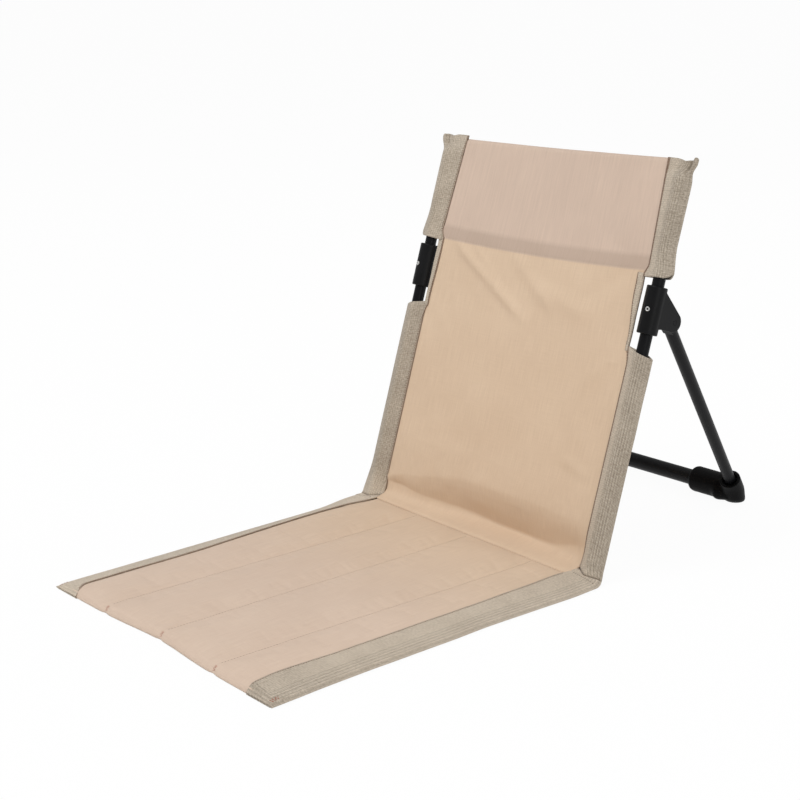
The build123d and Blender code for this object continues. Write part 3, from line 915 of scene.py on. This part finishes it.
def upper_weave(side, across, along):
    share, upper = strip_layers(across)
    depth = upper_depth(side, across, along)
    return woven_place(upper_layer_width, depth, upper), upper_span(side, share, along)


def upper_place(side, across, along):
    share, upper = strip_layers(across)
    up = upper_span(side, share, along)
    inner, outer = upper_inner(side, up), upper_outer(side, up)
    x = mix(inner, outer, share)
    flatten = ease((up - tube_top) / 0.014)
    swell = mix(pocket_swell, 0.0012, flatten) * (1 + 0.06 * ripple(up, side, 0.02, 6.1) * (1 - flatten))
    swell *= 1 + 0.10 * hump(up - upper_start, 0.005)
    bulk = tunnel(x, inner, outer, swell) + tuck * (1 - ease((share - 0.9) / 0.1))
    bulk -= 0.0002 * upper_groove(side, across, along)
    shift = -0.0028 * flatten * ease((share - 0.82) / 0.12)
    shift += 0.0024 * hump(share - 0.78, 0.040) * ease((up - 0.449) / 0.010)
    return on_back(side * x, shift - bulk if upper else shift + bulk, up)


def upper_pocket(side, label):
    bm = laid_grid(
        pocket_columns, pocket_rows, partial(upper_place, side), partial(upper_weave, side),
        {"groove_shade": partial(upper_groove, side), "edge": partial(upper_edge, side), "taut_shade": partial(upper_taut_shade, side)},
    )
    piece = webbing_piece(f"{label}_upper_pocket_webbing", side, bm)
    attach(piece, "back")
    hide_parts(f"{label}_upper_pocket")
    return piece


pockets = {label: upper_pocket(side, label) for label, side in sides}

# Bindings folded round the bare notch edges of the panel, wide above and narrow below
binding_columns, binding_rows = 36, 40
binding_low, binding_high = lower_end + 0.0015, upper_start + 0.004
binding_t = webbing_t * 0.8


def binding_outer(side, up):
    return panel_half(side, min(up, 0.337)) + 0.0022


def binding_width(side, up):
    return mix(0.0034 if side > 0 else 0.0072, 0.0096, ease((up - 0.262) / 0.060))


def binding_place(side, across, along):
    share, upper = strip_layers(across)
    up = mix(binding_low, binding_high, along)
    gap = 0.0013 * (1 - ease((share - 0.80) / 0.20))
    behind = notch_sway(side, up) + (gap if not upper else -gap) + 0.0004 * ripple(up, side, 0.02, 3.9)
    return on_back(side * (binding_outer(side, up) - (1 - share) * binding_width(side, up)), behind, up)


def binding_edge(across, along):
    share = strip_layers(across)[0]
    return 0.9 * max(ease((0.16 - share) / 0.06), ease((share - 0.90) / 0.05))


def notch_binding(side, label):
    bm = laid_grid(
        binding_columns, binding_rows, partial(binding_place, side), even_weave(0.018, 0.088), {"edge": binding_edge},
    )
    piece = webbing_piece(f"{label}_notch_webbing", side, bm, binding_t)
    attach(piece, "back")
    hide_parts(f"{label}_notch_binding")
    return piece


bindings = {label: notch_binding(side, label) for label, side in sides}


# Quilted seat pad
puff_frames = 18
most_puff = 0.0011
pad_floor = 0.0026  # height of the pad's underside


def pad_place(across, along):
    x = mix(-pad_half, pad_half, across)
    y = mix(pad_front(x), cross_seam(x) + 0.004, along)
    return Vector((x, y, pad_height(x, y)))


def pad_rear_share(across, along):
    """The cloth warms in tone towards the back."""
    return ease((mix(front_y, 0.034, along) + 0.25) / 0.28)


def pad_sewn(spot):
    """Whether the cloth is held here by a seam."""
    on_line = min(abs(spot.x - quilt_x(line, spot.y)) for line in quilt_lines) < 0.0014
    at_side = abs(spot.x) > band_inner(1 if spot.x > 0 else -1, spot.y) - 0.0012
    at_end = spot.y > cross_seam(spot.x) - 0.003 or spot.y < pad_front(spot.x) + 0.007
    return on_line or at_side or at_end


def puff(piece, held, pressure, most):
    """Fill a quilted cover: it swells between its seams and puckers beside them."""
    rest = [v.co.copy() for v in piece.data.vertices]
    group = piece.vertex_groups.new(name="sewn")
    group.add([i for i, spot in enumerate(rest) if held(spot)], 1.0, "REPLACE")
    cloth = piece.modifiers.new("filling", "CLOTH")
    settings = {
        "vertex_group_mass": "sewn", "use_pressure": True, "uniform_pressure_force": pressure, "quality": 5,
        "mass": 0.2, "tension_stiffness": 12.0, "compression_stiffness": 12.0, "bending_stiffness": 0.15,
        "shrink_min": -0.004,
    }
    for name, value in settings.items():
        setattr(cloth.settings, name, value)
    cloth.settings.effector_weights.gravity = 0.0
    cloth.point_cache.frame_start = 1
    cloth.point_cache.frame_end = puff_frames
    for step in range(1, puff_frames + 1):
        scene.frame_set(step)
    swollen = piece.evaluated_get(bpy.context.evaluated_depsgraph_get()).data
    moved = [v.co.copy() for v in swollen.vertices]
    piece.modifiers.remove(cloth)
    piece.vertex_groups.remove(group)
    scene.frame_set(1)
    for vertex, start, end in zip(piece.data.vertices, rest, moved):
        shift = end - start
        if shift.length > most:
            shift *= most / shift.length
        vertex.co = start + shift


pad = make_piece(
    "seat_pad",
    laid_grid(pad_columns, pad_rows, pad_place, even_weave(2 * pad_half, 0.432), {"rear": pad_rear_share}),
    seat_cloth,
)
puff(pad, pad_sewn, pressure=2.0, most=most_puff)


def close_pad(piece, floor_z):
    """Give the swollen cover its flat underside."""
    bm = bmesh.new()
    bm.from_mesh(piece.data)
    copy = bmesh.ops.duplicate(bm, geom=bm.verts[:] + bm.edges[:] + bm.faces[:])["geom"]
    faces = [g for g in copy if isinstance(g, bmesh.types.BMFace)]
    for vert in (g for g in copy if isinstance(g, bmesh.types.BMVert)):
        vert.co.z = mix(0.0006, floor_z, ease((vert.co.y - pad_front(vert.co.x) - 0.003) / 0.006))
    bmesh.ops.reverse_faces(bm, faces=faces)
    rims = [edge for edge in bm.edges if edge.is_boundary]
    bmesh.ops.bridge_loops(bm, edges=rims)
    for face in bm.faces:
        face.smooth = True
    bm.to_mesh(piece.data)
    bm.free()


def surface(piece):
    return BVHTree.FromObject(piece, bpy.context.evaluated_depsgraph_get())


pad_top = surface(pad)
close_pad(pad, pad_floor)
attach(pad, "seat")
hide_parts("seat_cover", "foam_strips", "front_hem")


# Base cloth under the pad
base_half = 0.1965


def base_place(across, along):
    x = mix(-base_half, base_half, across)
    y = mix(pad_front(x) + 0.012, crease.y - 0.0015, along)
    return Vector((x, y, 0.0019 + 0.0002 * ripple(x, y, 0.05, 2.2)))


base = make_piece("seat_base_cloth", laid_grid(48, 52, base_place, even_weave(0.393, 0.432)), seat_cloth, cloth_t)
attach(base, "seat")
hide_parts("base_cloth")


# Seams: rows of stitches lying on the cloth, each kind with its pitch, length and thickness
quilt_stitch = (0.0036, 0.0016, 0.00042)
edge_stitch = (0.0030, 0.0023, 0.0006)
fine_stitch = (0.0028, 0.0021, 0.0005)
hem_stitch = (0.0034, 0.0025, 0.0005)
cross_stitch = (0.0034, 0.0022, 0.00045)
pocket_inset = 0.0016  # of a pocket's stitches from its inner edge


def join_in(bm, shape):
    """Add a finished shape to a piece in the making."""
    mesh = bpy.data.meshes.new("shape")
    shape.to_mesh(mesh)
    shape.free()
    bm.from_mesh(mesh)
    bpy.data.meshes.remove(mesh)


def sew(bm, tree, path, outward, pitch, length, thick, reach=0.02):
    """Row of stitches along a line of points, dropped on to a cloth against the outward direction."""
    row = bmesh.new()
    total, points = 0.0, [path[0]]
    for a, b in zip(path, path[1:]):
        gap = (b - a).length
        while total + gap >= pitch * len(points):
            points.append(a.lerp(b, (pitch * len(points) - total) / gap))
        total += gap
    for a, b in zip(points, points[1:]):
        hit, normal, _, _ = tree.ray_cast((a + b) / 2 + outward * reach, -outward, 2 * reach)
        if hit is None:
            continue
        if normal.dot(outward) < 0:
            normal = -normal
        along = (b - a) - normal * (b - a).dot(normal)
        if along.length < 1e-6:
            continue
        along.normalize()
        turned = Matrix((along, normal.cross(along), normal)).transposed().to_4x4()
        size = Matrix.Diagonal((length / 2, thick * 0.55, thick / 2, 1))
        bmesh.ops.create_uvsphere(
            row, u_segments=6, v_segments=4, radius=1.0,
            matrix=Matrix.Translation(hit + normal * thick * 0.15) @ turned @ size,
        )
    join_in(bm, row)


def line(*points):
    return [Vector(p) for p in points]


def stitches(name, rows, thread, body):
    piece = make_piece(name, rows, thread)
    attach(piece, body)
    return piece


up_z = Vector((0, 0, 1))
strip_tops, pocket_tops, binding_tops = (
    {label: surface(piece) for label, piece in pair.items()} for pair in (strips, pockets, bindings)
)
flap_top = surface(head_flap)

quilting = bmesh.new()
for quilt in quilt_lines:
    steps = [mix(pad_front(quilt[0]) + 0.009, cross_seam(quilt[0]) - 0.003, k / 30) for k in range(31)]
    sew(quilting, pad_top, line(*[(quilt_x(quilt, y), y, 0.008) for y in steps]), up_z, *quilt_stitch)
stitches("quilting_stitches", quilting, brown_thread, "seat")

edge_rows = bmesh.new()
for label, side in sides:
    steps = [front_y + 0.006 + k * 0.005 for k in range(84)]
    path = line(*[(side * (strip_inner(side, y - front_y) + 0.0017), y, 0.01) for y in steps])
    sew(edge_rows, strip_tops[label], path, up_z, *edge_stitch)
stitches("band_stitches", edge_rows, brown_thread, "seat")

# Stitches across the crease corner in darker thread, partly painted shade in the crease.
corner_rows = bmesh.new()
for label, side in sides:
    row = line((side * 0.172, rear_seam_y, 0.01), (side * 0.2035, rear_seam_y, 0.006))
    sew(corner_rows, strip_tops[label], row, up_z, *fine_stitch)
stitches("corner_stitches", corner_rows, crease_shade_thread, "seat")

back_rows = bmesh.new()
for label, side in sides:
    lower_levels = [0.026 + k * 0.006 for k in range(39)]
    upper_levels = [upper_start + 0.001 + k * 0.005 for k in range(26)]
    notch_levels = [lower_end + 0.008 + k * 0.004 for k in range(20)]
    seams = [
        (strip_tops, [(strip_inner(side, seat_run + up) + pocket_inset, up) for up in lower_levels], edge_stitch),
        (pocket_tops, [(upper_inner(side, up) + pocket_inset, up) for up in upper_levels], edge_stitch),
        (
            binding_tops,
            [(binding_outer(side, up) - binding_width(side, up) + 0.0012, up) for up in notch_levels], fine_stitch,
        ),
    ]
    for tops, places, stitch in seams:
        path = [on_back(side * x, 0, up) for x, up in places]
        for outward in (-rearward, rearward):
            sew(back_rows, tops[label], path, outward, *stitch)
stitches("back_stitches", back_rows, brown_thread, "back")

pale_rows = bmesh.new()
shares = [k / 20 - 1 for k in range(41)]
for level in (hem_high - 0.001, hem_low + 0.002):
    path = [on_back(0.155 * share, 0, panel_up(share, level)) for share in shares]
    sew(pale_rows, flap_top, path, rearward, *hem_stitch)
head_stitches = stitches("head_stitches", pale_rows, pale_thread, "back")

seam_rows = bmesh.new()
path = line(*[(x, cross_seam(x) - 0.0022, 0.008) for x in (-0.160, -0.08, 0.0, 0.08, 0.160)])
sew(seam_rows, pad_top, path, up_z, *cross_stitch)
stitches("cross_seam_stitches", seam_rows, pale_thread, "seat")


def tack(bm, tree, x, y, width, length):
    """Bar of zigzag stitches that locks the end of a seam."""
    turns = 6
    path = [Vector((x + width * (k % 2 - 0.5), y + length * (k / turns - 0.5), 0.008)) for k in range(turns + 1)]
    for a, b in zip(path, path[1:]):
        sew(bm, tree, [a, a.lerp(b, 0.5), b], up_z, (b - a).length * 0.499, (b - a).length * 0.56, 0.0007)


lock_rows = bmesh.new()
for x, _ in quilt_lines:
    tack(lock_rows, pad_top, x, pad_front(x) + 0.0024, 0.0034, 0.0040)
stitches("quilting_tacks", lock_rows, rose_thread, "seat")

tack_rows = bmesh.new()
for label, side in sides:
    tack(tack_rows, strip_tops[label], side * 0.1930, front_y + 0.0085, 0.0046, 0.0095)
stitches("seam_tacks", tack_rows, red_thread, "seat")


# Moulded plastics: the frame's shapes with the soft edges of a moulding
def moulded(name, body, finish, shaping=None):
    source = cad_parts[name]
    bm = bmesh.new()
    bm.from_mesh(source.data)
    bmesh.ops.remove_doubles(bm, verts=bm.verts, dist=0.00001)
    bmesh.ops.recalc_face_normals(bm, faces=bm.faces)
    rough = make_piece(f"{name}_rough", bm, finish)
    remesh = rough.modifiers.new("moulding", "REMESH")
    remesh.mode = "VOXEL"
    remesh.voxel_size = 0.0005
    soften = rough.modifiers.new("soft_edges", "SMOOTH")
    soften.factor = 0.5
    soften.iterations = 5
    solid = bpy.data.meshes.new_from_object(rough.evaluated_get(bpy.context.evaluated_depsgraph_get()))
    bpy.data.objects.remove(rough)
    bm = bmesh.new()
    bm.from_mesh(solid)
    bpy.data.meshes.remove(solid)
    if shaping:
        for vert in bm.verts:
            shaping(vert.co)
    piece = make_piece(f"{name}_moulding", bm, finish)
    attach(piece, body)
    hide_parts(name)


foot_middle = (0.127, 0.376)  # of the pad that it stands on: across, and to the rear


def rounded_foot(spot):
    """Draw the foot's lower end forward, and turn its rim in towards the ground."""
    spot.y -= 0.0060 * ease((0.024 - spot.z) / 0.024) * ease((abs(spot.x) - 0.104) / 0.012)
    middle = Vector((math.copysign(foot_middle[0], spot.x), foot_middle[1], spot.z))
    low = max(0.0, 1 - spot.z / 0.007)
    away = spot - middle
    if low and away.length > 0.006:
        turn_in = 0.0042 * (1 - math.sqrt(max(0.0, 1 - low * low)))
        away *= 1 - turn_in / away.length * ease((away.length - 0.006) / 0.005)
    spot.xy = (middle + away).xy


for label, _ in sides:
    moulded(f"{label}_hinge_sleeve", "back", plastic_black)
    moulded(f"{label}_foot_elbow", "rear_stand", foot_black, rounded_foot)

# Hollow rivets through the fronts of the sleeves
rivet_profile = [
    (0.0010, -0.0030), (0.0011, 0.0002), (0.0014, 0.0006), (0.0019, 0.0008),
    (0.0024, 0.0006), (0.0027, 0.0001), (0.0027, -0.0007), (0.0021, -0.0012), (0.0020, -0.0030),
]
rivet_up = 0.3026
rivet_out = 0.0115  # from the upright's axis
rivet_turn = math.radians(12)
rivets = bmesh.new()
for _, side in sides:
    ring = bmesh.new()
    verts = [ring.verts.new((radius, 0, height)) for radius, height in rivet_profile]
    edges = [ring.edges.new(pair) for pair in zip(verts, verts[1:] + verts[:1])]
    bmesh.ops.spin(
        ring, geom=verts + edges, cent=(0, 0, 0), axis=(0, 0, 1), angle=2 * math.pi, steps=36, use_merge=True,
    )
    bmesh.ops.recalc_face_normals(ring, faces=ring.faces)
    outward = -rearward * math.cos(rivet_turn) + Vector((side * math.sin(rivet_turn), 0, 0))
    seat_of_rivet = on_back(side * upright_x, 0, rivet_up) + outward * rivet_out
    stand = Matrix.Translation(seat_of_rivet) @ outward.to_track_quat("Z", "Y").to_matrix().to_4x4()
    bmesh.ops.transform(ring, matrix=stand, verts=ring.verts)
    join_in(rivets, ring)
rivet_rings = make_piece("rivet_rings", rivets, rivet_steel)
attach(rivet_rings, "back")
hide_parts("sleeve_rivets")


# Finishes of the frame
def finish_nodes(finish, *names):
    for name in names:
        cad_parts[name].data.materials.clear()
        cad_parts[name].data.materials.append(finish)


finish_nodes(tube_black, "left_upright_tube", "right_upright_tube", "left_strut_tube", "right_strut_tube", "cross_bar")
finish_nodes(
    plastic_black,
    "left_strut_knuckle", "right_strut_knuckle", "upright_top_plugs", "upright_bottom_plugs", "hinge_pins",
)


# Floor, light and camera
def floor_finish():
    finish, tree, shader = new_finish("pale_floor")
    tree.nodes.remove(shader)
    matte = node(tree, "BsdfDiffuse", (0.92, 0.92, 0.92, 1))
    path = tree.nodes.new("ShaderNodeLightPath")
    seen = maths(tree, "MAXIMUM", path.outputs["Is Camera Ray"], path.outputs["Is Glossy Ray"])
    seen = maths(tree, "MAXIMUM", seen, path.outputs["Is Transmission Ray"])
    both = node(tree, "MixShader", maths(tree, "MULTIPLY", seen, 0.955), matte, node(tree, "Emission"))
    tree.links.new(both, tree.nodes["Material Output"].inputs["Surface"])
    return finish


floor_bm = bmesh.new()
bmesh.ops.create_grid(floor_bm, x_segments=2, y_segments=2, size=40.0)
bmesh.ops.translate(floor_bm, verts=floor_bm.verts, vec=(0, 0, -0.0006))
floor = make_piece("floor", floor_bm, floor_finish())

world = bpy.data.worlds.new("studio")
scene.world = world
world.use_nodes = True
sky = world.node_tree
ground = sky.nodes["Background"]
rays = sky.nodes.new("ShaderNodeLightPath")
seen_sky = maths(sky, "MAXIMUM", rays.outputs["Is Camera Ray"], rays.outputs["Is Transmission Ray"])
ground.inputs["Color"].default_value = (1, 1, 1, 1)
sky.links.new(spread(sky, seen_sky, 0.0, 1.0, 0.52, 1.0), ground.inputs["Strength"])


def soft_box(name, place, aim, size, watts):
    light = bpy.data.lights.new(name, "AREA")
    light.shape = "DISK"
    light.size = size
    light.energy = watts
    lamp = bpy.data.objects.new(name, light)
    scene.collection.objects.link(lamp)
    lamp.location = place
    lamp.rotation_euler = (Vector(aim) - Vector(place)).to_track_quat("-Z", "Y").to_euler()


soft_box("key", (-0.8, -2.0, 4.0), (0, 0, 0.15), 2.6, 90)
soft_box("side", (3.6, -0.9, 1.9), (0, 0.05, 0.2), 2.0, 27)
soft_box("rim", (0.6, 2.4, 1.8), (0, 0.1, 0.2), 1.2, 10)

turn, tip, roll = math.radians(49.28), math.radians(15.6), math.radians(-0.76)
behind_camera = Vector((math.sin(turn) * math.cos(tip), -math.cos(turn) * math.cos(tip), math.sin(tip)))
level_right = Vector((math.cos(turn), math.sin(turn), 0))
level_up = behind_camera.cross(level_right)
right = level_right * math.cos(roll) + level_up * math.sin(roll)
upward = level_up * math.cos(roll) - level_right * math.sin(roll)
camera = bpy.data.objects.new("camera", bpy.data.cameras.new("camera"))
scene.collection.objects.link(camera)
camera.data.lens = 72.0
camera.data.sensor_width = 36.0
camera.data.clip_start = 0.05
camera.data.clip_end = 100.0
view = Matrix((right, upward, behind_camera)).transposed().to_4x4()
view.translation = Vector((1.289, -1.1742, 0.664))
camera.matrix_world = view
scene.camera = camera
scene.view_settings.view_transform = "Standard"
